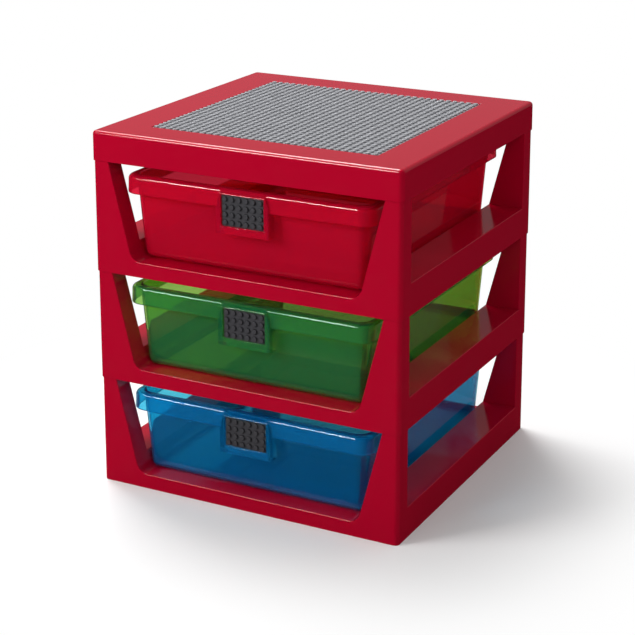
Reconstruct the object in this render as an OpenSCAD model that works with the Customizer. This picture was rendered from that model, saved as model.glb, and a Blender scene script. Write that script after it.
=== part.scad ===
// Storage rack with three pull-out drawers, made of stacked moulded frames under a lid.
// Millimetres, +Z up, front of the rack towards -Y, origin on the floor at the middle of the foot.

/* [Rack] */
// Width of a frame at half its height
rack_w = 348; // [320:1:400]
// Depth of a frame at half its height
rack_d = 338; // [300:1:400]
// Height of one frame, from its foot to the foot of the piece above
tier_h = 118; // [108:1:140]
// How far a frame's wall leans inwards from foot to head, on each side
wall_lean = 1.2; // [0.6:0.1:2]
// Radius of the upright corners
corner_r = 5; // [4.5:0.5:8]
// Wall of the frames and of the lid
frame_wall = 3; // [2:0.25:4]

/* [Bay in a frame] */
// Height of the shelf that the drawer stands on
shelf_h = 16; // [12:1:22]
// Height of the sill under the side windows
sill_h = 33; // [28:1:40]
// Width of a post at the sill
post_low_w = 40; // [34:1:46]
// Width of a post at its head
post_head_w = 18.5; // [16:0.5:24]
// Depth of a post from front to back
post_depth = 22.5; // [18:0.5:30]
// Radius between the shelf and the jamb of the bay
bay_corner_r = 13; // [10:1:15]
// Height of the ridge on the shelf that stops the closed drawer
stop_h = 8; // [5:0.5:12]
// Thickness of the stop ridge
stop_t = 3; // [2:0.5:5]
// Gap between the closed drawer and the stop ridge
stop_gap = 0.5; // [0.3:0.1:1]

/* [Spigots on the posts] */
// Height of a spigot
spigot_h = 10; // [6:1:14]
// Distance from the post's inner faces to its spigot
spigot_step = 2; // [1:0.5:4]
// Gap between a spigot and the wall of the piece above
spigot_gap = 0.3; // [0.2:0.05:0.5]

/* [Lid] */
// Height of the lid
lid_h = 31; // [26:1:40]
// Radius of the lid's upper edge
lid_edge_r = 4; // [2:0.5:4.5]

/* [Studs] */
// Distance from stud to stud
stud_pitch = 8; // [7.5:0.1:8.5]
// Diameter of a stud
stud_d = 4.9; // [4:0.1:6]
// Height of a stud
stud_h = 1.7; // [1:0.1:2.5]

/* [Building plate in the lid] */
// Studs along each side of the building plate
plate_studs = 32; // [24:1:34]
// Thickness of the building plate
plate_t = 1.5; // [1:0.1:2.5]
// How far the building plate's face lies below the lid's face
plate_sink = 0.8; // [0.4:0.1:1.5]
// Gap between the building plate and the edge of its pocket
plate_gap = 0.3; // [0.2:0.1:0.6]
// Diameter of the pegs that hold a plate
peg_d = 4.8; // [4:0.1:6]
// Gap between a peg and its hole
peg_gap = 0.1; // [0.05:0.05:0.2]
// Distance from the edge of the building plate to its pegs
peg_inset = 20; // [12:1:40]

/* [Drawer] */
// Gap between the rim and the bay's jamb on each side
rim_side_gap = 6.5; // [2:0.5:8]
// Distance from the rack's front to the rim
rim_front_setback = 3; // [2:0.5:8]
// Distance from the rack's back to the rim
rim_back_setback = 9; // [5:0.5:20]
// Gap above the rim
head_gap = 12; // [8:1:16]
// Gap between the drawer's floor and the shelf
run_gap = 0.3; // [0.2:0.1:0.5]
// Height of the rim's skirt
rim_h = 19; // [12:1:26]
// Distance that the rim stands out from the tub
rim_overhang = 7.5; // [7.5:0.5:14]
// Radius of the rim's corners
rim_corner_r = 17; // [9:0.5:20]
// Radius of the rim's upper edge
rim_edge_r = 5; // [2:0.5:6]
// How far the rim's skirt spreads towards its lower edge
rim_flare = 0.6; // [0:0.1:1]
// How far the tub's walls lean inwards from rim to floor, on each side
tub_lean = 6; // [4:0.5:7]
// Radius of the tub's upright corners
tub_corner_r = 15; // [11:0.5:18]
// Radius between the tub's walls and its floor
tub_floor_r = 9; // [6:0.5:10]
// Wall of the drawer
drawer_wall = 2.5; // [1.5:0.25:3]

/* [Handle] */
// Studs across the handle plate
handle_cols = 6; // [4:1:10]
// Studs up the handle plate
handle_rows = 4; // [3:1:5]
// Thickness of the handle plate
handle_t = 3.2; // [2:0.1:4]
// How far the handle plate's face lies behind the face of its boss
handle_sink = 2; // [1:0.5:5]
// How far the boss stands out from the rim
boss_out = 1.5; // [1:0.5:3]
// Border of the boss beside the plate
boss_side = 6; // [4:0.5:10]
// Border of the boss under the plate
boss_bottom = 8; // [4:0.5:12]
// Border of the boss over the plate
boss_top = 5.7; // [4:0.1:8]
// Height of the slope over the plate
boss_slope = 4.7; // [2:0.1:5]
// Height over which the boss narrows towards the rim
boss_shoulder = 8; // [4:1:12]
// How far the boss narrows on each side
boss_narrow = 4; // [2:0.5:4]
// Gap between the handle plate and its recess
handle_gap = 0.2; // [0.1:0.05:0.4]
// Diameter of the handle plate's pegs
handle_peg_d = 3.2; // [2.5:0.1:4]

/* [Travel] */
// How far each drawer stands open
drawer_open = 0; // [0:10:200]

/* [Hidden] */

// Colours
rack_red = [0.72, 0.05, 0.16];
plate_grey = [0.60, 0.61, 0.62];
handle_grey = [0.33, 0.33, 0.35];
drawer_red = [0.80, 0.05, 0.10, 0.85];
drawer_green = [0.10, 0.52, 0.22, 0.85];
drawer_blue = [0.03, 0.38, 0.70, 0.85];

// A cut runs this far past the face that it opens
over = 1;
// Least radius of an inner corner
least_r = 1.5;
// Sides of a turned corner, of a stud or peg, and steps in a quarter circle
hull_sides = 32;
stud_sides = 24;
arc_steps = 4;

// Where each frame stands, lower frame first
function tier_z(tier) = tier * tier_h;
lid_z = tier_z(3);

// Half the frame's width and depth at a height over its foot
function half_w(z) = rack_w / 2 + wall_lean * (1 / 2 - z / tier_h);
function half_d(z) = rack_d / 2 + wall_lean * (1 / 2 - z / tier_h);

// Bay: its jamb is a straight line from the sill to the head
bay_low = rack_w / 2 - post_low_w;
bay_head = rack_w / 2 - post_head_w;
jamb_slope = (bay_head - bay_low) / (tier_h - sill_h);
jamb_stretch = sqrt(1 + jamb_slope * jamb_slope);
function bay_half(z) = bay_low + jamb_slope * (z - sill_h);
bay_arc_z = shelf_h + bay_corner_r;
bay_arc_x = bay_half(bay_arc_z) - bay_corner_r * jamb_stretch;
window_half = rack_d / 2 - post_depth;

// Building plate and its pocket
plate_w = plate_studs * stud_pitch;
pocket_w = plate_w + 2 * plate_gap;
pocket_depth = plate_t + plate_sink;
peg_at = plate_w / 2 - peg_inset;

// Drawer heights are over the frame's foot
tub_floor_z = shelf_h + run_gap;
crest_z = tier_h - head_gap;
skirt_z = crest_z - rim_h;
rim_half_w = bay_half(skirt_z) - rim_side_gap;
rim_front = -rack_d / 2 + rim_front_setback;
rim_back = rack_d / 2 - rim_back_setback;
rim_half_d = (rim_back - rim_front) / 2;
drawer_y = (rim_back + rim_front) / 2;
tub_edge_r = min(tub_floor_r, tub_corner_r - tub_lean);
tub_top = crest_z - drawer_wall / 2;
// Back of the tub at a height over its round lower edge or on it
function tub_back(z) = let (rise = z - tub_floor_z - tub_edge_r)
  rim_back - rim_overhang - tub_lean + (rise > 0
    ? tub_lean * rise / (tub_top - tub_floor_z - tub_edge_r)
    : sqrt(tub_edge_r * tub_edge_r - rise * rise) - tub_edge_r);
stop_y = tub_back(shelf_h + stop_h) + stop_gap;

// Handle
handle_w = handle_cols * stud_pitch;
handle_h = handle_rows * stud_pitch;
boss_w = handle_w + 2 * boss_side;
boss_h = handle_h + boss_bottom + boss_top;
boss_z = crest_z - boss_h;
boss_front = rim_front - boss_out;
boss_back = rim_front + rim_overhang + tub_lean;
handle_z = boss_z + boss_bottom + handle_h / 2;
handle_face = boss_front + handle_sink;
handle_back = handle_face + handle_t;
handle_peg_x = handle_w / 2 - stud_pitch;
handle_peg_z = handle_h / 2 - stud_pitch;

// Stretches one corner's turned outline over the four corners of a block
module corner_hull(x, y, outline) {
  hull()
    for (sx = [-1, 1], sy = [-1, 1])
      translate([sx * x, sy * y, 0]) rotate_extrude($fn = hull_sides) polygon(outline);
}

// A quarter circle of an outline, from the start angle on, round a centre
function quarter(x, z, r, start) = [
  for (k = [0 : arc_steps]) [x + r * cos(start + 90 * k / arc_steps), z + r * sin(start + 90 * k / arc_steps)]
];

// Radius of a block's upright corners at a height over the frame's foot, following the leaning walls
function block_r(inset) = max(corner_r - inset, least_r);
function lean_r(inset, z) = block_r(inset) + wall_lean * (1 / 2 - z / tier_h);

// Round block that follows the frame's walls at an inset, with the outline of its corner
module frame_hull(inset, outline) {
  shift = inset + block_r(inset);
  corner_hull(rack_w / 2 - shift, rack_d / 2 - shift, outline);
}

module frame_block(z0, z1, inset) {
  frame_hull(inset, [[0, z0], [lean_r(inset, z0), z0], [lean_r(inset, z1), z1], [0, z1]]);
}

// The bay's outline seen from the front, grown outwards by a wall
module bay_outline(grow) {
  jamb_angle = atan(jamb_slope);
  top = tier_h + over;
  right = concat(
    [for (k = [0 : 2 * arc_steps]) let (a = -90 + (90 - jamb_angle) * k / (2 * arc_steps))
      [bay_arc_x + (bay_corner_r + grow) * cos(a), bay_arc_z + (bay_corner_r + grow) * sin(a)]],
    [[bay_half(top) + grow * jamb_stretch, top]]
  );
  left = [for (k = [len(right) - 1 : -1 : 0]) [-right[k][0], right[k][1]]];
  polygon(concat(right, left));
}

// The bay runs through the frame from front to back
module bay(grow) {
  translate([0, rack_d / 2 + wall_lean + over, 0]) rotate([90, 0, 0])
    linear_extrude(height = rack_d + 2 * wall_lean + 2 * over) bay_outline(grow);
}

// The side windows run through the frame from side to side, between the posts
module windows(grow) {
  w = rack_w + 2 * wall_lean + 2 * over;
  d = 2 * (window_half + grow);
  translate([-w / 2, -d / 2, sill_h - grow]) cube([w, d, tier_h - sill_h + grow + over]);
}

// A spigot on each post follows the inside of the walls of the piece above, round corner included
module spigots() {
  x0 = bay_half(tier_h) + spigot_step;
  y0 = window_half + spigot_step;
  intersection() {
    translate([0, 0, tier_h]) frame_block(-frame_wall, spigot_h, frame_wall + spigot_gap);
    for (sx = [0, 1], sy = [0, 1]) mirror([sx, 0, 0]) mirror([0, sy, 0])
      translate([x0, y0, tier_h - frame_wall]) cube([half_w(0) - x0, half_d(0) - y0, spigot_h + frame_wall]);
  }
}

// Ridge across the shelf behind the drawer
module stop_ridge() {
  root = frame_wall / 2;
  translate([-bay_arc_x, stop_y, shelf_h - root]) cube([2 * bay_arc_x, stop_t, stop_h + root]);
}

// Moulded frame: shelf, four hollow posts and a skirt that is open underneath
module frame(tier) {
  color(rack_red) translate([0, 0, tier_z(tier)]) {
    difference() {
      frame_block(0, tier_h, 0);
      bay(0);
      windows(0);
      difference() {
        frame_block(-over, tier_h - frame_wall, frame_wall);
        bay(frame_wall);
        windows(frame_wall);
      }
    }
    spigots();
    stop_ridge();
  }
}

// Outside of the lid, with its round upper edge
module lid_block() {
  edge_r = min(lid_edge_r, lean_r(0, lid_h));
  frame_hull(0, concat(
    [[0, 0], [lean_r(0, 0), 0]],
    quarter(lean_r(0, lid_h) - edge_r, lid_h - edge_r, edge_r, 0),
    [[0, lid_h]]
  ));
}

module lid() {
  bed_w = pocket_w + 2 * frame_wall;
  bed_z = lid_h - pocket_depth - frame_wall;
  color(rack_red) translate([0, 0, lid_z]) difference() {
    lid_block();
    translate([-pocket_w / 2, -pocket_w / 2, lid_h - pocket_depth])
      cube([pocket_w, pocket_w, pocket_depth + over]);
    difference() {
      frame_block(-over, lid_h - frame_wall, frame_wall);
      translate([-bed_w / 2, -bed_w / 2, bed_z]) cube([bed_w, bed_w, lid_h]);
    }
    for (sx = [-1, 1], sy = [-1, 1]) translate([sx * peg_at, sy * peg_at, bed_z - over])
      cylinder(d = peg_d + 2 * peg_gap, h = frame_wall + 2 * over, $fn = stud_sides);
  }
}

// Studs in a grid round the origin, standing on z = 0 and rooted a little below it
module studs(cols, rows, root) {
  translate([0, 0, -root]) linear_extrude(height = stud_h + root)
    for (i = [0 : cols - 1], j = [0 : rows - 1])
      translate([(i - (cols - 1) / 2) * stud_pitch, (j - (rows - 1) / 2) * stud_pitch])
        circle(d = stud_d, $fn = stud_sides);
}

// Building plate, which lies in the lid's pocket on four pegs
module stud_plate() {
  color(plate_grey) translate([0, 0, lid_z + lid_h - pocket_depth]) {
    translate([-plate_w / 2, -plate_w / 2, 0]) cube([plate_w, plate_w, plate_t]);
    translate([0, 0, plate_t]) studs(plate_studs, plate_studs, plate_t / 2);
    for (sx = [-1, 1], sy = [-1, 1]) translate([sx * peg_at, sy * peg_at, -frame_wall])
      cylinder(d = peg_d, h = frame_wall + plate_t / 2, $fn = stud_sides);
  }
}

// Tub of the drawer at an inset from its outside, with a round lower edge
module tub_block(inset) {
  shift = rim_overhang + tub_corner_r;
  floor_r = tub_corner_r - tub_lean - inset;
  edge_r = min(tub_floor_r - inset, floor_r);
  low = tub_floor_z + inset;
  top = inset > 0 ? crest_z + over : tub_top;
  corner_hull(rim_half_w - shift, rim_half_d - shift, concat(
    [[0, low]],
    quarter(floor_r - edge_r, low + edge_r, edge_r, -90),
    [[tub_corner_r - inset, top], [0, top]]
  ));
}

// Outside of the rim, with its round upper edge
module rim_block() {
  shift = rim_corner_r;
  crest_r = rim_corner_r - rim_flare;
  corner_hull(rim_half_w - shift, rim_half_d - shift, concat(
    [[0, skirt_z], [rim_corner_r, skirt_z]],
    quarter(crest_r - rim_edge_r, crest_z - rim_edge_r, rim_edge_r, 0),
    [[0, crest_z]]
  ));
}

// Hollow under the rim, open downwards, which follows the rim's round edge
module rim_hollow() {
  shift = rim_corner_r;
  r = rim_corner_r - rim_flare - drawer_wall;
  edge_r = max(rim_edge_r - drawer_wall, least_r / 2);
  low = skirt_z - over;
  top = crest_z - drawer_wall;
  corner_hull(rim_half_w - shift, rim_half_d - shift, concat(
    [[0, low], [r, low]],
    quarter(r - edge_r, top - edge_r, edge_r, 0),
    [[0, top]]
  ));
}

// Boss for the handle plate: its front outline, cut to its side outline
module boss_block() {
  half = boss_w / 2;
  slope_z = crest_z - boss_slope;
  shoulder_z = slope_z - boss_shoulder;
  intersection() {
    translate([0, boss_back, 0]) rotate([90, 0, 0]) linear_extrude(height = boss_back - boss_front)
      polygon([
        [-half, boss_z], [half, boss_z], [half, shoulder_z], [half - boss_narrow, slope_z],
        [half - boss_narrow, crest_z], [boss_narrow - half, crest_z], [boss_narrow - half, slope_z],
        [-half, shoulder_z]
      ]);
    translate([-half - over, 0, 0]) rotate([90, 0, 90]) linear_extrude(height = boss_w + 2 * over)
      polygon([
        [boss_front, boss_z - over], [boss_front, slope_z], [boss_front + boss_slope, crest_z],
        [boss_back + over, crest_z], [boss_back + over, boss_z - over]
      ]);
  }
}

// Hollow of the boss behind the plate's bed, open downwards
module boss_hollow() {
  w = boss_w - 2 * boss_narrow - 2 * drawer_wall;
  y0 = handle_back + drawer_wall;
  translate([-w / 2, y0, boss_z - over])
    cube([w, boss_back - y0, crest_z - drawer_wall - boss_z + over]);
}

// Recess in the boss with four holes in its bed
module handle_recess() {
  w = handle_w + 2 * handle_gap;
  h = handle_h + 2 * handle_gap;
  translate([-w / 2, boss_front - over, handle_z - h / 2]) cube([w, handle_back - boss_front + over, h]);
  for (sx = [-1, 1], sz = [-1, 1])
    translate([sx * handle_peg_x, handle_back + drawer_wall + over, handle_z + sz * handle_peg_z])
      rotate([90, 0, 0])
        cylinder(d = handle_peg_d + 2 * peg_gap, h = drawer_wall + 2 * over, $fn = stud_sides);
}

// Drawer: a tub with an overhanging rim and a boss for the handle plate
module drawer(tier, tint) {
  color(tint) translate([0, -drawer_open, tier_z(tier)]) difference() {
    union() {
      translate([0, drawer_y, 0]) {
        tub_block(0);
        difference() {
          rim_block();
          rim_hollow();
        }
      }
      difference() {
        boss_block();
        boss_hollow();
      }
    }
    translate([0, drawer_y, 0]) tub_block(drawer_wall);
    handle_recess();
  }
}

// Handle plate, pressed into the boss by four pegs
module handle_plate(tier) {
  color(handle_grey) translate([0, handle_face - drawer_open, tier_z(tier) + handle_z]) rotate([90, 0, 0]) {
    translate([-handle_w / 2, -handle_h / 2, -handle_t]) cube([handle_w, handle_h, handle_t]);
    studs(handle_cols, handle_rows, handle_t / 2);
    for (sx = [-1, 1], sz = [-1, 1])
      translate([sx * handle_peg_x, sz * handle_peg_z, -handle_t - drawer_wall])
        cylinder(d = handle_peg_d, h = handle_t / 2 + drawer_wall, $fn = stud_sides);
  }
}

module upper_frame() frame(2);
module middle_frame() frame(1);
module lower_frame() frame(0);
module upper_drawer() drawer(2, drawer_red);
module middle_drawer() drawer(1, drawer_green);
module lower_drawer() drawer(0, drawer_blue);
module upper_handle_plate() handle_plate(2);
module middle_handle_plate() handle_plate(1);
module lower_handle_plate() handle_plate(0);

lid();
stud_plate();
upper_frame();
middle_frame();
lower_frame();
upper_drawer();
middle_drawer();
lower_drawer();
upper_handle_plate();
middle_handle_plate();
lower_handle_plate();
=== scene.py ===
"""Looks of a storage rack: three stacked moulded frames under a lid, with three clear drawers.

Shapes are worked out in millimetres in the part's own frame and become metres when a mesh is made.
"""
import math

import bmesh
import bpy
from mathutils import Matrix, Vector


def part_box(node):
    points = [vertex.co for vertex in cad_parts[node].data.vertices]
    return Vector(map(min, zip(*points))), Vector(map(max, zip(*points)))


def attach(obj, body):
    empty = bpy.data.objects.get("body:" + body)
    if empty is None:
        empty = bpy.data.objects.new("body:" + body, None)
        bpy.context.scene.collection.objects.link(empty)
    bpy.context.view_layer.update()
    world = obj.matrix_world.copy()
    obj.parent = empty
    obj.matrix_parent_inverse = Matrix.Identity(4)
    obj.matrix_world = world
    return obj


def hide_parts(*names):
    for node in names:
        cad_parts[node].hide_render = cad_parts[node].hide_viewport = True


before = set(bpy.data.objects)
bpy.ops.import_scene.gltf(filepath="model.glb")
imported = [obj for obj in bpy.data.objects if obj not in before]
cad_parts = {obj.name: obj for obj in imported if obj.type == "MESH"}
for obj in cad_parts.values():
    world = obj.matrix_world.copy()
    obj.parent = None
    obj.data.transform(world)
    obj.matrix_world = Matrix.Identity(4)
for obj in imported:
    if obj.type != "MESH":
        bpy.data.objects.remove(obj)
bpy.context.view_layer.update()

MM = 0.001
TIERS = ("lower", "middle", "upper")
# Signs of X and Y at the corners of a rectangle, counterclockwise
SIDES_AROUND = ((1, 1), (-1, 1), (-1, -1), (1, -1))


def corners_mm(node):
    """A node's lowest and highest corner in millimetres."""
    low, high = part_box(node)
    return low / MM, high / MM


# ---------------------------------------------------------------- sizes, in millimetres

TIER_H = corners_mm("middle_frame")[0].z - corners_mm("lower_frame")[0].z
LID_LOW, LID_HIGH = corners_mm("lid")
DRAWER_LOW, DRAWER_HIGH = corners_mm("lower_drawer")
PLATE_LOW = corners_mm("stud_plate")[0]
HANDLE_LOW, HANDLE_HIGH = corners_mm("lower_handle_plate")

CORNER_STEPS = 12
FILLET_STEPS = 4
# Least radius of a turned corner, so that no face shrinks to a line
LEAST_R = 0.3
# How far a cut goes past the face that it opens
PAST = 1
# Points closer than this are one point
WELD = 0.001
# Heights closer than this are one height
LEVEL = 0.01
# Places of a studded plate's points are rounded to this many decimals
DECIMALS = 4

# Angles between faces, in degrees
FLAT_BELOW = 0.5
BEVEL_ABOVE = 32
SHARP_ABOVE = 50
# The most that large faces can outweigh small ones in a shared point's normal
MOST_WEIGHT = 100

# Frames
SHELF_H = 16
STOP_H = 8
STOP_HALF_W = 121
STOP_PLACE = (140, 155)
OPENING_FILLET = 0.9
JOINT_FILLET = 0.25
STOP_FILLET = 0.5

# Lid
WALL_LEAN = 1.2
RACK_CORNER_R = 5
FRAME_WALL = 3
LID_EDGE_R = 4
LID_EDGE_STEPS = 10
POCKET_FILLET = 0.4

# Studs
STUD_PITCH = 8
STUD_D = 4.9
STUD_H = 1.7
STUD_SIDES = 20
HOLE_SIDES = 24
STUD_FILLET = 0.35
PLATE_STUDS = 32
PLATE_T = 1.5
PLATE_GAP = 0.3
PEG_D = 4.8
PEG_GAP = 0.1
PEG_INSET = 20
PEG_AT = PLATE_STUDS * STUD_PITCH / 2 - PEG_INSET
PLATE_FILLET = 0.2

# Drawer
RIM_H = 19
RIM_OVERHANG = 7.5
RIM_CORNER_R = 17
RIM_EDGE_R = 5
RIM_EDGE_STEPS = 8
RIM_FLARE = 0.6
TUB_LEAN = 6
TUB_CORNER_R = 15
TUB_FLOOR_R = 9
TUB_FLOOR_STEPS = 8
WALL = 2.5
LIP_FILLET = 0.9
HOLLOW_FILLET = 1

# Handle
HANDLE_COLS = 6
HANDLE_ROWS = 4
HANDLE_T = 3.2
HANDLE_GAP = 0.2
HANDLE_PEG_D = 3.2
HANDLE_PEG_X = HANDLE_COLS * STUD_PITCH / 2 - STUD_PITCH
HANDLE_PEG_Z = HANDLE_ROWS * STUD_PITCH / 2 - STUD_PITCH
HANDLE_MIDDLE_Z = (HANDLE_LOW.z + HANDLE_HIGH.z) / 2
BOSS_OUT = 1.5
RIM_FRONT = DRAWER_LOW.y + BOSS_OUT
BOSS_SIDE = 6
BOSS_HALF_W = HANDLE_COLS * STUD_PITCH / 2 + BOSS_SIDE
BOSS_BOTTOM = 8
BOSS_TOP = 5.7
BOSS_H = HANDLE_ROWS * STUD_PITCH + BOSS_BOTTOM + BOSS_TOP
BOSS_SLOPE = 4.7
BOSS_SHOULDER = 8
BOSS_NARROW = 4
BOSS_FILLET = 0.5
RECESS_CHAMFER = 0.5


# ---------------------------------------------------------------- meshes

def new_object(name, bm):
    """A piece from a bmesh in millimetres, with outward normals."""
    bmesh.ops.recalc_face_normals(bm, faces=bm.faces)
    bm.transform(Matrix.Scale(MM, 4))
    mesh = bpy.data.meshes.new(name)
    bm.to_mesh(mesh)
    bm.free()
    piece = bpy.data.objects.new(name, mesh)
    bpy.context.scene.collection.objects.link(piece)
    return piece


def smooth(piece):
    """Smooth shading that keeps flat faces flat and sharp edges sharp."""
    limit = math.radians(SHARP_ABOVE)
    bm = bmesh.new()
    bm.from_mesh(piece.data)
    for face in bm.faces:
        face.smooth = True
    for edge in bm.edges:
        edge.smooth = not edge.is_manifold or edge.calc_face_angle() < limit
    bm.to_mesh(piece.data)
    bm.free()
    weighted = piece.modifiers.new("weighted_normals", "WEIGHTED_NORMAL")
    weighted.keep_sharp = True
    weighted.weight = MOST_WEIGHT
    return piece


def arc(r, z, radius, start, end, steps=FILLET_STEPS):
    """Points of an arc in a profile, as (corner radius, height), from one angle to another."""
    angles = [math.radians(start + (end - start) * k / steps) for k in range(steps + 1)]
    return [(r + radius * math.cos(a), z + radius * math.sin(a)) for a in angles]


def around(centre, profile):
    """Stations of a loft: a profile that is turned round corners whose centre is (x, y)."""
    return [(centre[0], centre[1], max(r, LEAST_R), z) for r, z in profile]


def ring(station, middle_y=0):
    """Points round a rectangle with round corners."""
    x, y, r, z = station
    points = []
    for quarter, (side_x, side_y) in enumerate(SIDES_AROUND):
        for k in range(CORNER_STEPS + 1):
            a = math.radians(90 * (quarter + k / CORNER_STEPS))
            at_x, at_y = side_x * x + r * math.cos(a), side_y * y + r * math.sin(a) + middle_y
            points.append(Vector((at_x, at_y, z)))
    return points


def loft(stations, middle_y=0):
    """A closed solid through rings of points, with a flat face on the first and the last ring."""
    bm = bmesh.new()
    rings = [[bm.verts.new(p) for p in ring(s, middle_y)] for s in stations]
    for a, b in zip(rings, rings[1:]):
        for k in range(len(a)):
            n = (k + 1) % len(a)
            bm.faces.new((a[k], a[n], b[n], b[k]))
    bm.faces.new(reversed(rings[0]))
    bm.faces.new(rings[-1])
    return bm


def block(low, high):
    """A plain box, used only to cut with."""
    bm = bmesh.new()
    bmesh.ops.create_cube(bm, size=1)
    low, high = Vector(low), Vector(high)
    bm.transform(Matrix.Translation((low + high) / 2) @ Matrix.Diagonal((*(high - low), 1)))
    return bm


def pin(centre, axis, d, length):
    """A round pin round a centre along Y or Z, used only to cut with."""
    bm = bmesh.new()
    bmesh.ops.create_cone(
        bm, cap_ends=True, segments=HOLE_SIDES, radius1=d / 2, radius2=d / 2, depth=length
    )
    if axis == "Y":
        bm.transform(Matrix.Rotation(math.radians(90), 4, "X"))
    bm.transform(Matrix.Translation(centre))
    return bm


def combine(piece, tool_bm, operation):
    """Joins, or cuts away, a solid given as a bmesh."""
    tool = new_object("tool", tool_bm)
    boolean = piece.modifiers.new("cut", "BOOLEAN")
    boolean.object = tool
    boolean.operation = operation
    boolean.solver = "EXACT"
    bpy.context.view_layer.update()
    done = piece.evaluated_get(bpy.context.evaluated_depsgraph_get())
    mesh = bpy.data.meshes.new_from_object(done)
    piece.modifiers.remove(boolean)
    piece.data = mesh
    bpy.data.objects.remove(tool)


# ---------------------------------------------------------------- frames

def is_level(edge, height):
    """True if an edge lies at a height."""
    return all(abs(v.co.z - height) < LEVEL for v in edge.verts)


def sharp_edges(bm):
    """The edges that are sharp enough to be rounded."""
    limit = math.radians(BEVEL_ABOVE)
    return [e for e in bm.edges if e.is_manifold and e.calc_face_angle() > limit]


def on_ridge(edge, foot):
    """True if an edge belongs to the ridge that stops a frame's drawer."""
    near_y, far_y = STOP_PLACE
    return all(
        abs(v.co.x) < STOP_HALF_W and near_y < v.co.y < far_y and v.co.z > foot + SHELF_H / 2
        for v in edge.verts
    )


def is_wall_edge(edge, foot, head):
    """True if an edge is an outer one of a frame's walls, not of its spigots or its ridge."""
    below_head = all(v.co.z < head + LEVEL for v in edge.verts)
    return edge.is_convex and below_head and not on_ridge(edge, foot)


def round_edges(bm, edges, radius, segments=3):
    bmesh.ops.bevel(
        bm, geom=edges, offset=radius, offset_type="OFFSET", segments=segments, profile=0.5,
        affect="EDGES", clamp_overlap=False, loop_slide=True,
    )


def make_frame(tier):
    """A frame as the model has it, with its flat faces whole and its edges rounded."""
    node = TIERS[tier] + "_frame"
    bm = bmesh.new()
    bm.from_mesh(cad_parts[node].data)
    bm.transform(Matrix.Scale(1 / MM, 4))
    bmesh.ops.remove_doubles(bm, verts=bm.verts, dist=WELD)
    bmesh.ops.dissolve_limit(
        bm, angle_limit=math.radians(FLAT_BELOW), verts=bm.verts, edges=bm.edges
    )
    foot, head = tier * TIER_H, (tier + 1) * TIER_H

    def is_joint(edge):
        return is_level(edge, foot) or is_level(edge, head)

    walls = [e for e in sharp_edges(bm) if is_wall_edge(e, foot, head)]
    round_edges(bm, [e for e in walls if not is_joint(e)], OPENING_FILLET)
    walls = [e for e in sharp_edges(bm) if is_wall_edge(e, foot, head)]
    round_edges(bm, [e for e in walls if is_joint(e)], JOINT_FILLET, 2)
    stop_top = foot + SHELF_H + STOP_H
    ridge = [e for e in sharp_edges(bm) if is_level(e, stop_top) and on_ridge(e, foot)]
    round_edges(bm, ridge, STOP_FILLET, 2)
    piece = smooth(new_object("moulded_" + node, bm))
    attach(piece, "rack")
    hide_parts(node)
    return piece


# ---------------------------------------------------------------- lid

def make_lid():
    """Outside wall, inside wall and pocket of the lid as one loft."""
    inset = RACK_CORNER_R + WALL_LEAN / 2
    centre = (LID_HIGH.x - inset, LID_HIGH.y - inset)
    foot, top = LID_LOW.z, LID_HIGH.z

    def wall_r(z, depth):
        return RACK_CORNER_R - depth + WALL_LEAN * (1 / 2 - (z - foot) / TIER_H)

    pocket_half = PLATE_STUDS * STUD_PITCH / 2 + PLATE_GAP
    pocket_floor = PLATE_LOW.z + FRAME_WALL
    pocket_centre = (pocket_half - LEAST_R, pocket_half - LEAST_R)
    bed_half = pocket_half + FRAME_WALL
    bed_centre = (bed_half - LEAST_R, bed_half - LEAST_R)
    bed = pocket_floor - FRAME_WALL
    ceiling = top - FRAME_WALL
    joint_z, ceiling_z = foot + JOINT_FILLET, ceiling - HOLLOW_FILLET
    mouth = arc(LEAST_R + POCKET_FILLET, top - POCKET_FILLET, POCKET_FILLET, 180, 90)
    edge_r = wall_r(top, 0) - LID_EDGE_R
    edge = arc(edge_r, top - LID_EDGE_R, LID_EDGE_R, 90, 0, LID_EDGE_STEPS)
    outer_foot = arc(wall_r(foot, 0) - JOINT_FILLET, joint_z, JOINT_FILLET, 0, -90)
    inner_foot = arc(wall_r(foot, FRAME_WALL) + JOINT_FILLET, joint_z, JOINT_FILLET, 270, 180)
    inner_r = wall_r(ceiling, FRAME_WALL) - HOLLOW_FILLET
    inner_head = arc(inner_r, ceiling_z, HOLLOW_FILLET, 0, 90)
    under_bed = arc(LEAST_R - POCKET_FILLET, bed + POCKET_FILLET, POCKET_FILLET, 0, -90)
    stations = (
        around(pocket_centre, [(LEAST_R, pocket_floor)] + mouth)
        + around(centre, edge + outer_foot + inner_foot + inner_head)
        + around(bed_centre, [(LEAST_R, ceiling)] + under_bed)
    )
    piece = new_object("moulded_lid", loft(stations))
    for side_x in (-1, 1):
        for side_y in (-1, 1):
            at = (side_x * PEG_AT, side_y * PEG_AT, bed)
            combine(piece, pin(at, "Z", PEG_D + 2 * PEG_GAP, top - foot), "DIFFERENCE")
    smooth(piece)
    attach(piece, "rack")
    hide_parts("lid")
    return piece


# ---------------------------------------------------------------- studded plates

def circle(x, y, z, r):
    """Points round a stud, which start in the middle of a quarter."""
    turns = [math.pi / 4 + 2 * math.pi / STUD_SIDES * k for k in range(STUD_SIDES)]
    return [(x + r * math.cos(a), y + r * math.sin(a), z) for a in turns]


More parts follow.
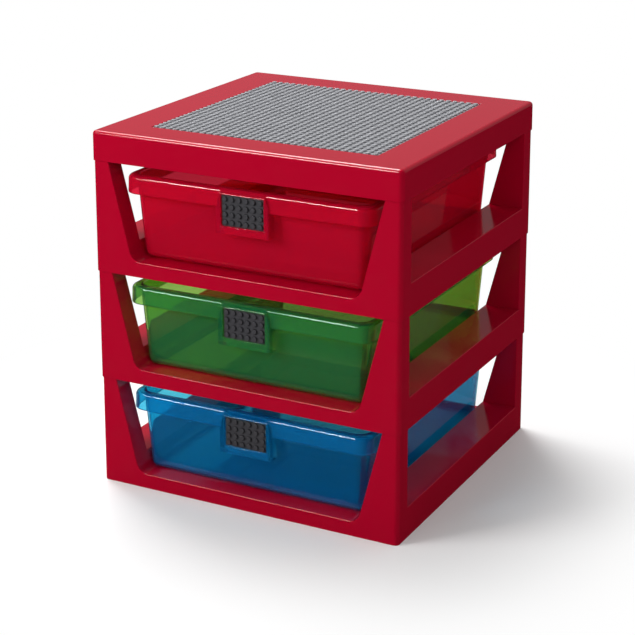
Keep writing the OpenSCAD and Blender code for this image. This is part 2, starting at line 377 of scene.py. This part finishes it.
class Sheet:
    """Points and faces of a studded plate, with points shared by place."""

    def __init__(self):
        self.points, self.faces, self.index = [], [], {}

    def point(self, x, y, z):
        key = (round(x, DECIMALS), round(y, DECIMALS), round(z, DECIMALS))
        if key not in self.index:
            self.index[key] = len(self.points)
            self.points.append(key)
        return self.index[key]

    def face(self, *corners):
        self.faces.append([self.point(*c) for c in corners])

    def cell(self, low, high, centre, z, rings):
        """A flat cell with a round post, whose radii and heights rings gives, from its root."""
        (x0, y0), (x1, y1) = low, high
        corners = [(x1, y1, z), (x0, y1, z), (x0, y0, z), (x1, y0, z)]
        root = circle(*centre, z, rings[0][0])
        share = STUD_SIDES // 4
        for k in range(4):
            run = [root[(k * share + n) % STUD_SIDES] for n in range(share, -1, -1)]
            self.face(corners[k], corners[(k + 1) % 4], *run)
        before = root
        for r, height in rings[1:]:
            after = circle(*centre, height, r)
            for k in range(STUD_SIDES):
                n = (k + 1) % STUD_SIDES
                self.face(before[k], before[n], after[n], after[k])
            before = after
        self.face(*before)


def post(r, root, tip, fillet):
    """Radii and heights of a round post with a rounded tip, which may point up or down."""
    way = 1 if tip > root else -1
    return [(r, root)] + [
        (r - fillet + fillet * math.cos(a), tip - way * fillet + way * fillet * math.sin(a))
        for a in (0, math.pi / 4, math.pi / 2)
    ]


def cells(half, count):
    """Edges of equal cells over a width, with its rim left out for a fillet."""
    edges = [-half + 2 * half * k / count for k in range(count + 1)]
    edges[0] += PLATE_FILLET
    edges[-1] -= PLATE_FILLET
    return edges


def studded_plate(cols, rows, thickness, peg_d, peg_x, peg_y, peg_length):
    """A plate that lies on z = 0 with studs on top and four pegs under it."""
    half_x, half_y = cols * STUD_PITCH / 2, rows * STUD_PITCH / 2
    sheet = Sheet()
    xs, ys = cells(half_x, cols), cells(half_y, rows)
    stud = post(STUD_D / 2, thickness, thickness + STUD_H, STUD_FILLET)
    for i in range(cols):
        for j in range(rows):
            centre = (-half_x + (i + 0.5) * STUD_PITCH, -half_y + (j + 0.5) * STUD_PITCH)
            sheet.cell((xs[i], ys[j]), (xs[i + 1], ys[j + 1]), centre, thickness, stud)
    peg = post(peg_d / 2, 0, -peg_length, STUD_FILLET)
    low_x, low_y = cells(half_x, 2), cells(half_y, 2)
    for i in range(2):
        for j in range(2):
            centre = ((2 * i - 1) * peg_x, (2 * j - 1) * peg_y)
            sheet.cell((low_x[i], low_y[j]), (low_x[i + 1], low_y[j + 1]), centre, 0, peg)
    # The plate's edge: its upper and lower outline, and a pair of rings between them
    top = outline(xs, ys, thickness)
    bottom = outline(low_x, low_y, 0)
    side_top = outline(xs, ys, thickness - PLATE_FILLET, PLATE_FILLET)
    side_bottom = outline(low_x, low_y, PLATE_FILLET, PLATE_FILLET)
    for a, b in ((top, side_top), (side_bottom, bottom)):
        for k in range(len(a)):
            n = (k + 1) % len(a)
            sheet.face(a[k], b[k], b[n], a[n])
    side(sheet, side_top, side_bottom)
    bm = bmesh.new()
    verts = [bm.verts.new(p) for p in sheet.points]
    for f in sheet.faces:
        bm.faces.new([verts[k] for k in f])
    return bm


def outline(xs, ys, z, grow=0):
    """Points round the edge of a grid, grown outwards."""
    first = [(x, ys[0], z) for x in xs[:-1]] + [(xs[-1], y, z) for y in ys[:-1]]
    second = [(x, ys[-1], z) for x in xs[:0:-1]] + [(xs[0], y, z) for y in ys[:0:-1]]
    low_x, high_x, low_y, high_y = xs[0], xs[-1], ys[0], ys[-1]
    grown = []
    for x, y, z in first + second:
        x += grow * ((x == high_x) - (x == low_x))
        y += grow * ((y == high_y) - (y == low_y))
        grown.append((x, y, z))
    return grown


def side(sheet, upper, lower):
    """The four flat sides between two outlines that share their corners' places."""
    x1, y1 = max(p[0] for p in upper), max(p[1] for p in upper)
    for axis, value in ((1, -y1), (0, x1), (1, y1), (0, -x1)):
        high, low = (
            sorted((p for p in points if abs(p[axis] - value) < WELD), key=lambda p: p[1 - axis])
            for points in (upper, lower)
        )
        sheet.face(*high, *reversed(low))


def make_stud_plate():
    bm = studded_plate(PLATE_STUDS, PLATE_STUDS, PLATE_T, PEG_D, PEG_AT, PEG_AT, FRAME_WALL)
    bm.transform(Matrix.Translation((0, 0, PLATE_LOW.z + FRAME_WALL)))
    piece = smooth(new_object("studded_building_plate", bm))
    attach(piece, "rack")
    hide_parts("stud_plate")
    return piece


def make_handle_plate(tier):
    node = TIERS[tier] + "_handle_plate"
    low, high = corners_mm(node)
    pegs = (HANDLE_PEG_D, HANDLE_PEG_X, HANDLE_PEG_Z, WALL)
    bm = studded_plate(HANDLE_COLS, HANDLE_ROWS, HANDLE_T, *pegs)
    bm.transform(Matrix.Rotation(math.radians(90), 4, "X"))
    bm.transform(Matrix.Translation((0, high.y - WALL, (low.z + high.z) / 2)))
    piece = smooth(new_object("studded_" + node, bm))
    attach(piece, TIERS[tier] + "_drawer")
    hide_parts(node)
    return piece


# ---------------------------------------------------------------- drawers

def drawer_stations():
    """Profile of a drawer, from its inside floor over the rim to its outside floor."""
    half_x, half_y = DRAWER_HIGH.x, (DRAWER_HIGH.y - RIM_FRONT) / 2
    floor, crest = DRAWER_LOW.z, DRAWER_HIGH.z
    tub_shift = RIM_OVERHANG + TUB_CORNER_R
    tub = (half_x - tub_shift, half_y - tub_shift)
    rim = (half_x - RIM_CORNER_R, half_y - RIM_CORNER_R)
    wall_foot = floor + TUB_FLOOR_R
    floor_r = TUB_CORNER_R - TUB_LEAN

    def outer_r(z):
        return floor_r + TUB_LEAN * (z - wall_foot) / (crest - WALL / 2 - wall_foot)

    def inner_r(z):
        return floor_r - WALL + TUB_LEAN * (z - wall_foot) / (crest + PAST - wall_foot)

    inner_floor_r = TUB_FLOOR_R - WALL
    rim_r = RIM_CORNER_R - RIM_FLARE
    skirt = crest - RIM_H
    hollow_r = RIM_EDGE_R - WALL
    lip_z, armpit_z = skirt + LIP_FILLET, crest - WALL - HOLLOW_FILLET
    lip_inner = rim_r - WALL
    inside = arc(floor_r - WALL - inner_floor_r, wall_foot, inner_floor_r, -90, 0, TUB_FLOOR_STEPS)
    mouth = arc(inner_r(crest) + LIP_FILLET, crest - LIP_FILLET, LIP_FILLET, 180, 90)
    edge = arc(rim_r - RIM_EDGE_R, crest - RIM_EDGE_R, RIM_EDGE_R, 90, 0, RIM_EDGE_STEPS)
    lip = arc(RIM_CORNER_R - LIP_FILLET, lip_z, LIP_FILLET, 0, -90)
    lip += arc(lip_inner + LIP_FILLET, lip_z, LIP_FILLET, 270, 180)
    hollow = arc(lip_inner - hollow_r, crest - WALL - hollow_r, hollow_r, 0, 90)
    armpit = arc(outer_r(armpit_z) + HOLLOW_FILLET, armpit_z, HOLLOW_FILLET, 90, 180)
    outside = arc(floor_r - TUB_FLOOR_R, wall_foot, TUB_FLOOR_R, 0, -90, TUB_FLOOR_STEPS)
    stations = around(tub, inside + mouth) + around(rim, edge + lip + hollow)
    stations += around(tub, armpit + outside)
    return stations, (DRAWER_HIGH.y + RIM_FRONT) / 2, outer_r


def boss_solid(outer_r):
    """The block that holds the handle plate, from its front back into the tub's wall."""
    crest = DRAWER_HIGH.z
    half = BOSS_HALF_W
    narrow = half - BOSS_NARROW
    foot = crest - BOSS_H
    slope = crest - BOSS_SLOPE
    shoulder = slope - BOSS_SHOULDER

    def back(z):
        return RIM_FRONT + RIM_OVERHANG + TUB_CORNER_R - outer_r(z) + WALL / 2

    bm = bmesh.new()
    right = [(half, foot), (half, shoulder), (narrow, slope), (narrow, crest)]
    around_it = right + [(-x, z) for x, z in reversed(right)]
    fronts = [
        bm.verts.new((x, DRAWER_LOW.y + (BOSS_SLOPE if z == crest else 0), z)) for x, z in around_it
    ]
    backs = [bm.verts.new((x, back(z), z)) for x, z in around_it]
    bm.faces.new([fronts[k] for k in (0, 1, 2, 5, 6, 7)])
    bm.faces.new([fronts[k] for k in (2, 3, 4, 5)])
    bm.faces.new(reversed(backs))
    for k in range(len(fronts)):
        n = (k + 1) % len(fronts)
        bm.faces.new((fronts[k], backs[k], backs[n], fronts[n]))
    bmesh.ops.recalc_face_normals(bm, faces=bm.faces)
    kept = set(backs)
    round_edges(bm, [e for e in bm.edges if not kept.intersection(e.verts)], BOSS_FILLET)
    return bm


def recess_solid():
    """The cut for the handle plate, with a chamfer round its mouth."""
    half_x = HANDLE_COLS * STUD_PITCH / 2 + HANDLE_GAP
    half_z = HANDLE_ROWS * STUD_PITCH / 2 + HANDLE_GAP
    bed = HANDLE_HIGH.y - WALL
    mouth = DRAWER_LOW.y
    bm = bmesh.new()
    rings = []
    chamfer = RECESS_CHAMFER
    for y, grow in ((bed, 0), (mouth + chamfer, 0), (mouth, chamfer), (mouth - PAST, chamfer)):
        x, z = half_x + grow, half_z + grow
        rings.append([
            bm.verts.new((side_x * x, y, HANDLE_MIDDLE_Z + side_z * z))
            for side_x, side_z in SIDES_AROUND
        ])
    for a, b in zip(rings, rings[1:]):
        for k in range(4):
            n = (k + 1) % 4
            bm.faces.new((a[k], a[n], b[n], b[k]))
    bm.faces.new(rings[0])
    bm.faces.new(reversed(rings[-1]))
    return bm


def drawer_mesh():
    """The lower drawer as one closed mesh."""
    stations, middle_y, outer_r = drawer_stations()
    piece = new_object("drawer", loft(stations, middle_y))
    boss = new_object("boss", boss_solid(outer_r))
    half = BOSS_HALF_W - BOSS_NARROW - WALL
    crest = DRAWER_HIGH.z
    hollow_low = (-half, HANDLE_HIGH.y, crest - BOSS_H - PAST)
    hollow_high = (half, HANDLE_HIGH.y + RIM_OVERHANG, crest - WALL)
    combine(boss, block(hollow_low, hollow_high), "DIFFERENCE")
    tool = bmesh.new()
    tool.from_mesh(boss.data)
    tool.transform(Matrix.Scale(1 / MM, 4))
    bpy.data.objects.remove(boss)
    combine(piece, tool, "UNION")
    combine(piece, recess_solid(), "DIFFERENCE")
    for side_x in (-1, 1):
        for side_z in (-1, 1):
            peg_z = HANDLE_MIDDLE_Z + side_z * HANDLE_PEG_Z
            at = (side_x * HANDLE_PEG_X, HANDLE_HIGH.y - WALL / 2, peg_z)
            combine(piece, pin(at, "Y", HANDLE_PEG_D + 2 * PEG_GAP, 2 * WALL), "DIFFERENCE")
    mesh = piece.data
    bpy.data.objects.remove(piece)
    return mesh


def make_drawer(tier, mesh):
    name = TIERS[tier] + "_drawer"
    own = mesh.copy()
    own.transform(Matrix.Translation((0, 0, tier * TIER_H * MM)))
    piece = bpy.data.objects.new("translucent_" + name, own)
    bpy.context.scene.collection.objects.link(piece)
    smooth(piece)
    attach(piece, name)
    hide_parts(name)
    return piece


# ---------------------------------------------------------------- materials

# The part of a noise's range that holds most of its values
NOISE_MIDDLE = (0.3, 0.7)
# Share of open surroundings at which a corner's painted shade is darkest, and at which there is
# none
CREASE_SHADE_OPEN = (0.45, 0.95)
CREASE_SHADE_SAMPLES = 8
# Refractive indices: of opaque plastic, of clear plastic's gloss, and of its walls, which is low so
# that they don't act as lenses
OPAQUE_IOR = 1.5
GLOSS_IOR = 1.46
WALL_IOR = 1.2
COAT_ROUGHNESS = 0.03
CLEAR_ROUGHNESS = (0.02, 0.06)
# Height in metres of the waves in clear plastic
CLEAR_WAVINESS = 0.00001
# Waves per metre and detail of each noise
GLOSS_NOISE = (60, 4)
WAVE_NOISE = (22, 1)
GRAIN_NOISE = (900, 2)
CLEAR_GLOSS_NOISE = (45, 3)
CLEAR_WAVE_NOISE = (18, 1)
# How much a colour's brightness varies, and in how many waves per metre
OPAQUE_SHADES = (0.03, 9)
MILKY_SHADES = (0.08, 14)


def srgb(r, g, b):
    """A colour given as 0 to 255 in sRGB, as Blender's linear values."""
    def linear(v):
        v = v / 255
        return v / 12.92 if v <= 0.04045 else ((v + 0.055) / 1.055) ** 2.4
    return (linear(r), linear(g), linear(b), 1)


def new_material(name):
    material = bpy.data.materials.new(name)
    material.use_nodes = True
    nodes = material.node_tree.nodes
    return material, material.node_tree, nodes["Principled BSDF"], nodes["Material Output"]


def noise(tree, scale, detail=2.0):
    """Noise over the piece, in waves per metre."""
    place = tree.nodes.new("ShaderNodeTexCoord")
    texture = tree.nodes.new("ShaderNodeTexNoise")
    texture.inputs["Scale"].default_value = scale
    texture.inputs["Detail"].default_value = detail
    tree.links.new(place.outputs["Object"], texture.inputs["Vector"])
    return texture.outputs["Fac"]


def between(tree, socket, low, high):
    """Maps the middle of a noise to a range."""
    node = tree.nodes.new("ShaderNodeMapRange")
    node.inputs["From Min"].default_value = NOISE_MIDDLE[0]
    node.inputs["From Max"].default_value = NOISE_MIDDLE[1]
    node.inputs["To Min"].default_value = low
    node.inputs["To Max"].default_value = high
    tree.links.new(socket, node.inputs["Value"])
    return node.outputs["Result"]


def bump(tree, socket, height, before=None):
    """A bump of a height in metres."""
    node = tree.nodes.new("ShaderNodeBump")
    node.inputs["Strength"].default_value = 1
    node.inputs["Distance"].default_value = height
    tree.links.new(socket, node.inputs["Height"])
    if before is not None:
        tree.links.new(before, node.inputs["Normal"])
    return node.outputs["Normal"]


def tint(tree, colour, amount, scale):
    """A colour that varies a little in brightness over the piece."""
    mix = tree.nodes.new("ShaderNodeMix")
    mix.data_type = "RGBA"
    mix.inputs["A"].default_value = tuple(c * (1 - amount) for c in colour[:3]) + (1,)
    mix.inputs["B"].default_value = tuple(min(c * (1 + amount), 1) for c in colour[:3]) + (1,)
    tree.links.new(noise(tree, scale), mix.inputs["Factor"])
    return mix.outputs["Result"]


def painted_crease_shade(tree, socket, dark):
    """Paints shade into a colour in tight corners, such as round the roots of studs, darker where
    less of the surroundings is open.
    """
    corner = tree.nodes.new("ShaderNodeAmbientOcclusion")
    corner.samples = CREASE_SHADE_SAMPLES
    corner.only_local = True
    corner.inputs["Distance"].default_value = STUD_H * MM
    open_share = tree.nodes.new("ShaderNodeMapRange")
    open_share.inputs["From Min"].default_value = CREASE_SHADE_OPEN[0]
    open_share.inputs["From Max"].default_value = CREASE_SHADE_OPEN[1]
    tree.links.new(corner.outputs["AO"], open_share.inputs["Value"])
    mix = tree.nodes.new("ShaderNodeMix")
    mix.data_type = "RGBA"
    mix.inputs["A"].default_value = dark
    tree.links.new(open_share.outputs["Result"], mix.inputs["Factor"])
    tree.links.new(socket, mix.inputs["B"])
    return mix.outputs["Result"]


def moulded_plastic(name, colour, roughness, waviness, grain, crease_shade_colour=None):
    """Opaque moulded plastic: a wavy gloss with a fine grain, and painted shade in tight corners
    where a shade colour is given.
    """
    material, tree, shader, _ = new_material(name)
    base = tint(tree, colour, *OPAQUE_SHADES)
    # Painted shade round the roots of studs and in other tight corners
    if crease_shade_colour is not None:
        base = painted_crease_shade(tree, base, crease_shade_colour)
    tree.links.new(base, shader.inputs["Base Color"])
    low, high = roughness
    rough = between(tree, noise(tree, *GLOSS_NOISE), low, high)
    tree.links.new(rough, shader.inputs["Roughness"])
    shader.inputs["IOR"].default_value = OPAQUE_IOR
    wave = bump(tree, noise(tree, *WAVE_NOISE), waviness)
    fine = bump(tree, noise(tree, *GRAIN_NOISE), grain, wave)
    tree.links.new(fine, shader.inputs["Normal"])
    return material


def tinted_plastic(name, through, body, haze):
    """Clear tinted plastic with some haze. Its walls let lamps through in their own colour."""
    material, tree, shader, output = new_material(name)
    nodes, links = tree.nodes, tree.links
    shader.inputs["Base Color"].default_value = through
    shader.inputs["Transmission Weight"].default_value = 1
    shader.inputs["IOR"].default_value = WALL_IOR
    shader.inputs["Coat Weight"].default_value = 1
    shader.inputs["Coat Roughness"].default_value = COAT_ROUGHNESS
    shader.inputs["Coat IOR"].default_value = GLOSS_IOR
    rough = between(tree, noise(tree, *CLEAR_GLOSS_NOISE), *CLEAR_ROUGHNESS)
    links.new(rough, shader.inputs["Roughness"])
    wave = bump(tree, noise(tree, *CLEAR_WAVE_NOISE), CLEAR_WAVINESS)
    links.new(wave, shader.inputs["Normal"])
    links.new(wave, shader.inputs["Coat Normal"])
    milky = nodes.new("ShaderNodeBsdfPrincipled")
    links.new(tint(tree, body, *MILKY_SHADES), milky.inputs["Base Color"])
    links.new(rough, milky.inputs["Roughness"])
    links.new(wave, milky.inputs["Normal"])
    milky.inputs["IOR"].default_value = GLOSS_IOR
    wall = nodes.new("ShaderNodeMixShader")
    wall.inputs["Fac"].default_value = haze
    links.new(shader.outputs["BSDF"], wall.inputs[1])
    links.new(milky.outputs["BSDF"], wall.inputs[2])
    clear = nodes.new("ShaderNodeBsdfTransparent")
    let_through = tuple(math.sqrt(c) * (1 - haze) for c in through[:3])
    clear.inputs["Color"].default_value = let_through + (1,)
    path = nodes.new("ShaderNodeLightPath")
    lamps = nodes.new("ShaderNodeMixShader")
    links.new(path.outputs["Is Shadow Ray"], lamps.inputs["Fac"])
    links.new(wall.outputs["Shader"], lamps.inputs[1])
    links.new(clear.outputs["BSDF"], lamps.inputs[2])
    links.new(lamps.outputs["Shader"], output.inputs["Surface"])
    return material


RACK_RED = moulded_plastic(
    "rack_red", srgb(177, 3, 39), roughness=(0.10, 0.16), waviness=0.00004, grain=0.000002
)
# Both grey plates get painted shade round the roots of their studs, down to the last colour given
PLATE_GREY = moulded_plastic(
    "plate_grey", srgb(155, 156, 160), roughness=(0.24, 0.34), waviness=0.00002,
    grain=0.000004, crease_shade_colour=srgb(70, 70, 76),
)
HANDLE_GREY = moulded_plastic(
    "handle_grey", srgb(65, 64, 68), roughness=(0.42, 0.52), waviness=0.00002,
    grain=0.000004, crease_shade_colour=srgb(14, 14, 18),
)
DRAWER_PLASTICS = {
    "upper": tinted_plastic(
        "clear_red", through=srgb(244, 56, 84), body=srgb(210, 16, 58), haze=0.4
    ),
    "middle": tinted_plastic(
        "clear_green", through=srgb(162, 204, 98), body=srgb(42, 164, 116), haze=0.15
    ),
    "lower": tinted_plastic(
        "clear_blue", through=srgb(88, 208, 232), body=srgb(0, 136, 208), haze=0.15
    ),
}


def paint(piece, material):
    piece.data.materials.clear()
    piece.data.materials.append(material)


# ---------------------------------------------------------------- stage

# Half the floor's side, and the distances between which it fades to white, in metres
FLOOR_HALF = 6
FLOOR_FADE = (0.2, 0.5)
FLOOR_ROUGHNESS = 0.9
# Brightness of the floor where it is seen, where it lights the rack, and in reflections
FLOOR_WHITE = 0.97
FLOOR_BOUNCE = 0.45
FLOOR_REFLECTED = 0.01
# Brightness of the world as soft light, and in reflections of the room and of the backdrop
SOFT_LIGHT = 0.4
ROOM_REFLECTED = 0.005
BACKDROP_REFLECTED = 0.2
# The way to the backdrop, and how far a ray goes along it where the backdrop starts and is full
BACKDROP_WAY = (-0.42, 0.89, 0.18)
BACKDROP_REACH = (-0.1, 0.8)


def kinds_of_ray(tree):
    """Two values of 0 or 1: seen directly or through clear plastic, and seen as a reflection."""
    path = tree.nodes.new("ShaderNodeLightPath")
    direct = tree.nodes.new("ShaderNodeMath")
    direct.operation = "MAXIMUM"
    tree.links.new(path.outputs["Is Camera Ray"], direct.inputs[0])
    tree.links.new(path.outputs["Is Transmission Ray"], direct.inputs[1])
    # A ray through clear plastic also counts as glossy
    mirrored = tree.nodes.new("ShaderNodeMath")
    mirrored.operation = "SUBTRACT"
    mirrored.use_clamp = True
    tree.links.new(path.outputs["Is Glossy Ray"], mirrored.inputs[0])
    tree.links.new(path.outputs["Is Transmission Ray"], mirrored.inputs[1])
    return direct.outputs["Value"], mirrored.outputs["Value"]


def make_floor():
    """A white floor that keeps the rack's shadow and fades to plain white away from it."""
    bm = bmesh.new()
    bmesh.ops.create_grid(bm, x_segments=1, y_segments=1, size=FLOOR_HALF / MM)
    floor = new_object("floor", bm)
    material, tree, shader, output = new_material("floor_white")
    nodes, links = tree.nodes, tree.links
    bounce = nodes.new("ShaderNodeLightPath")
    white = nodes.new("ShaderNodeMix")
    white.data_type = "RGBA"
    white.inputs["A"].default_value = (FLOOR_WHITE, FLOOR_WHITE, FLOOR_WHITE, 1)
    white.inputs["B"].default_value = (FLOOR_BOUNCE, FLOOR_BOUNCE, FLOOR_BOUNCE, 1)
    links.new(bounce.outputs["Is Diffuse Ray"], white.inputs["Factor"])
    links.new(white.outputs["Result"], shader.inputs["Base Color"])
    shader.inputs["Roughness"].default_value = FLOOR_ROUGHNESS
    shader.inputs["Specular IOR Level"].default_value = 0
    glow = nodes.new("ShaderNodeEmission")
    glow.inputs["Color"].default_value = (1, 1, 1, 1)
    dark = nodes.new("ShaderNodeEmission")
    dark.inputs["Color"].default_value = (FLOOR_REFLECTED, FLOOR_REFLECTED, FLOOR_REFLECTED, 1)
    place = nodes.new("ShaderNodeTexCoord")
    length = nodes.new("ShaderNodeVectorMath")
    length.operation = "LENGTH"
    links.new(place.outputs["Object"], length.inputs[0])
    fade = nodes.new("ShaderNodeMapRange")
    fade.interpolation_type = "SMOOTHSTEP"
    fade.inputs["From Min"].default_value = FLOOR_FADE[0]
    fade.inputs["From Max"].default_value = FLOOR_FADE[1]
    links.new(length.outputs["Value"], fade.inputs["Value"])
    direct, mirrored = kinds_of_ray(tree)
    seen = nodes.new("ShaderNodeMath")
    seen.operation = "MULTIPLY"
    links.new(fade.outputs["Result"], seen.inputs[0])
    links.new(direct, seen.inputs[1])
    mix = nodes.new("ShaderNodeMixShader")
    links.new(seen.outputs["Value"], mix.inputs["Fac"])
    links.new(shader.outputs["BSDF"], mix.inputs[1])
    links.new(glow.outputs["Emission"], mix.inputs[2])
    final = nodes.new("ShaderNodeMixShader")
    links.new(mirrored, final.inputs["Fac"])
    links.new(mix.outputs["Shader"], final.inputs[1])
    links.new(dark.outputs["Emission"], final.inputs[2])
    links.new(final.outputs["Shader"], output.inputs["Surface"])
    paint(floor, material)


def make_world():
    """White where the camera looks, a plain pale level for soft light, and for gloss a bright
    backdrop behind the rack and a dark room in front of it."""
    world = bpy.data.worlds.new("studio")
    bpy.context.scene.world = world
    world.use_nodes = True
    # Light Path tells rays apart only where the world isn't sampled as a lamp
    world.cycles.sampling_method = "NONE"
    tree = world.node_tree
    nodes, links = tree.nodes, tree.links
    background = nodes["Background"]
    background.inputs["Color"].default_value = (1, 1, 1, 1)
    direct, mirrored = kinds_of_ray(tree)
    soft = nodes.new("ShaderNodeMapRange")
    soft.inputs["To Min"].default_value = SOFT_LIGHT
    soft.inputs["To Max"].default_value = 1
    links.new(direct, soft.inputs["Value"])
    place = nodes.new("ShaderNodeTexCoord")
    towards = nodes.new("ShaderNodeVectorMath")
    towards.operation = "DOT_PRODUCT"
    towards.inputs[1].default_value = BACKDROP_WAY
    links.new(place.outputs["Generated"], towards.inputs[0])
    room = nodes.new("ShaderNodeMapRange")
    room.interpolation_type = "SMOOTHSTEP"
    room.inputs["From Min"].default_value = BACKDROP_REACH[0]
    room.inputs["From Max"].default_value = BACKDROP_REACH[1]
    room.inputs["To Min"].default_value = ROOM_REFLECTED
    room.inputs["To Max"].default_value = BACKDROP_REFLECTED
    links.new(towards.outputs["Value"], room.inputs["Value"])
    strength = nodes.new("ShaderNodeMix")
    links.new(mirrored, strength.inputs["Factor"])
    links.new(soft.outputs["Result"], strength.inputs["A"])
    links.new(room.outputs["Result"], strength.inputs["B"])
    links.new(strength.outputs["Result"], background.inputs["Strength"])


# Each lamp's place, the point it faces, its size in metres and its power in watts
LAMPS = {
    "key": ((-0.9, 0.7, 2.2), (0, 0, 0.25), (1.2, 1.2), 50),
    "fill": ((-1.3, -1.4, 1.1), (0, 0, 0.7), (0.9, 0.7), 8.5),
    "side": ((1.3, -1.4, 1.3), (0, 0, 0.3), (0.8, 0.8), 7),
    "gloss": ((-1.65, -2.7, 2.4), (0, 0, 0.3), (1.05, 0.75), 58),
}
# How wide the fill lamp shines, in degrees
FILL_SPREAD = 90
# Lies between one glossy bounce and two
ONE_BOUNCE = 1.5


def area_light(name, place, target, size, power):
    data = bpy.data.lights.new(name, "AREA")
    data.shape = "RECTANGLE"
    data.size, data.size_y = size
    data.energy = power
    light = bpy.data.objects.new(name, data)
    bpy.context.scene.collection.objects.link(light)
    light.location = place
    # A lamp doesn't show as a hot spot through clear plastic
    light.visible_transmission = False
    light.rotation_mode = "QUATERNION"
    light.rotation_quaternion = (Vector(target) - Vector(place)).to_track_quat("-Z", "Y")
    return light


def only_first_reflection(light):
    """Leaves a lamp to be seen by the first reflection alone."""
    light.visible_diffuse = False
    light.data.use_nodes = True
    tree = light.data.node_tree
    once = tree.nodes.new("ShaderNodeMath")
    once.operation = "LESS_THAN"
    once.inputs[1].default_value = ONE_BOUNCE
    path = tree.nodes.new("ShaderNodeLightPath")
    tree.links.new(path.outputs["Glossy Depth"], once.inputs[0])
    tree.links.new(once.outputs["Value"], tree.nodes["Emission"].inputs["Strength"])


def make_lamps():
    lamps = {name: area_light(name, *values) for name, values in LAMPS.items()}
    lamps["fill"].data.spread = math.radians(FILL_SPREAD)
    # Mirrored in the lid, these two would wash its corners out
    lamps["fill"].visible_glossy = lamps["side"].visible_glossy = False
    only_first_reflection(lamps["gloss"])


# The camera's picture and the point where its axis meets it, in pixels
PICTURE_SIDE = 635
AXIS_PX = (333.3, 266.7)
FOCAL_PX = 1731
SENSOR = 36
CAMERA_PLACE = (823, -1579, 791)
# In degrees: how far right of the front and how far above level the camera stands, and its roll
CAMERA_TURN = (27.09, 17.85, 0.15)


def make_camera():
    """The camera stands to the right of the front and a little above the lid."""
    azimuth, elevation, roll = (math.radians(turn) for turn in CAMERA_TURN)
    data = bpy.data.cameras.new("camera")
    data.sensor_width = SENSOR
    data.lens = FOCAL_PX / PICTURE_SIDE * SENSOR
    data.shift_x = (PICTURE_SIDE / 2 - AXIS_PX[0]) / PICTURE_SIDE
    data.shift_y = (AXIS_PX[1] - PICTURE_SIDE / 2) / PICTURE_SIDE
    camera = bpy.data.objects.new("camera", data)
    bpy.context.scene.collection.objects.link(camera)
    back = Vector((
        math.sin(azimuth) * math.cos(elevation),
        -math.cos(azimuth) * math.cos(elevation),
        math.sin(elevation),
    ))
    camera.rotation_mode = "QUATERNION"
    rolled = Matrix.Rotation(roll, 3, back).to_quaternion()
    camera.rotation_quaternion = rolled @ (-back).to_track_quat("-Z", "Y")
    camera.location = Vector(CAMERA_PLACE) * MM
    bpy.context.scene.camera = camera


# ---------------------------------------------------------------- the scene

make_camera()
make_floor()
make_world()
make_lamps()

paint(make_lid(), RACK_RED)
paint(make_stud_plate(), PLATE_GREY)
shape = drawer_mesh()
for tier, tier_name in enumerate(TIERS):
    paint(make_frame(tier), RACK_RED)
    drawer = make_drawer(tier, shape)
    paint(drawer, DRAWER_PLASTICS[tier_name])
    paint(make_handle_plate(tier), HANDLE_GREY)

bpy.context.scene.view_settings.view_transform = "Standard"
